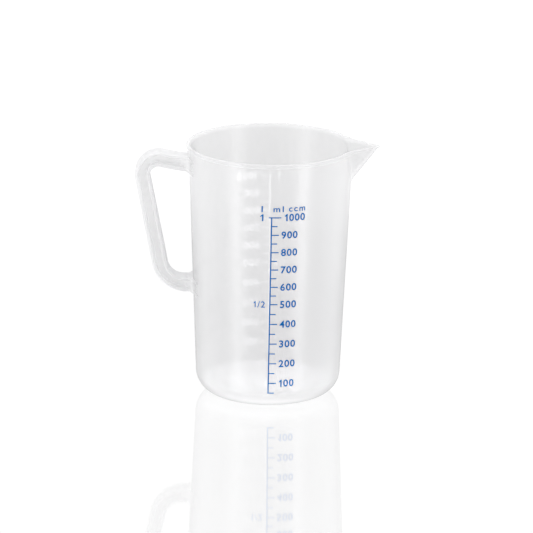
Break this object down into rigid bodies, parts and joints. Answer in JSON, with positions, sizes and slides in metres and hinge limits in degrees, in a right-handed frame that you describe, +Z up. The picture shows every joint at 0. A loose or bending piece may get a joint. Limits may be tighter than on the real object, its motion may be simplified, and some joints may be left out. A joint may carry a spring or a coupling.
{
  "type": "plastic measuring beaker with handle and spout",
  "caption": "Tapered translucent plastic measuring beaker with a V-shaped pouring spout, a closed loop handle, a printed volume scale in front and a raised one behind.",
  "frame": {"origin": "on the cup's axis, in the plane of the foot ring that it stands on", "axes": "+Z up along the cup's axis, +X towards the pouring spout, -X towards the handle, -Y towards the printed scale, +Y towards the raised scale"},
  "size_m": [0.165, 0.1134, 0.172],
  "materials": {
    "polypropylene": "milky translucent polypropylene, smooth with a soft gloss",
    "blue_ink": "screen-printed blue ink, satin"
  },
  "bodies": {
    "root": {"base_floor": "polypropylene", "foot_ring": "polypropylene", "heel_ring": "polypropylene", "vessel_wall": "polypropylene", "rim_bead": "polypropylene", "spout": "polypropylene", "handle_outer_flange": "polypropylene", "handle_inner_flange": "polypropylene", "handle_web": "polypropylene", "handle_root_upper": "polypropylene", "handle_root_lower": "polypropylene", "printed_line": "blue_ink", "printed_ticks": "blue_ink", "printed_numerals": "blue_ink", "printed_litre_numerals": "blue_ink", "printed_units": "blue_ink", "raised_line": "polypropylene", "raised_ticks": "polypropylene", "raised_numerals": "polypropylene", "raised_litre_numerals": "polypropylene"}
  },
  "joints": []
}
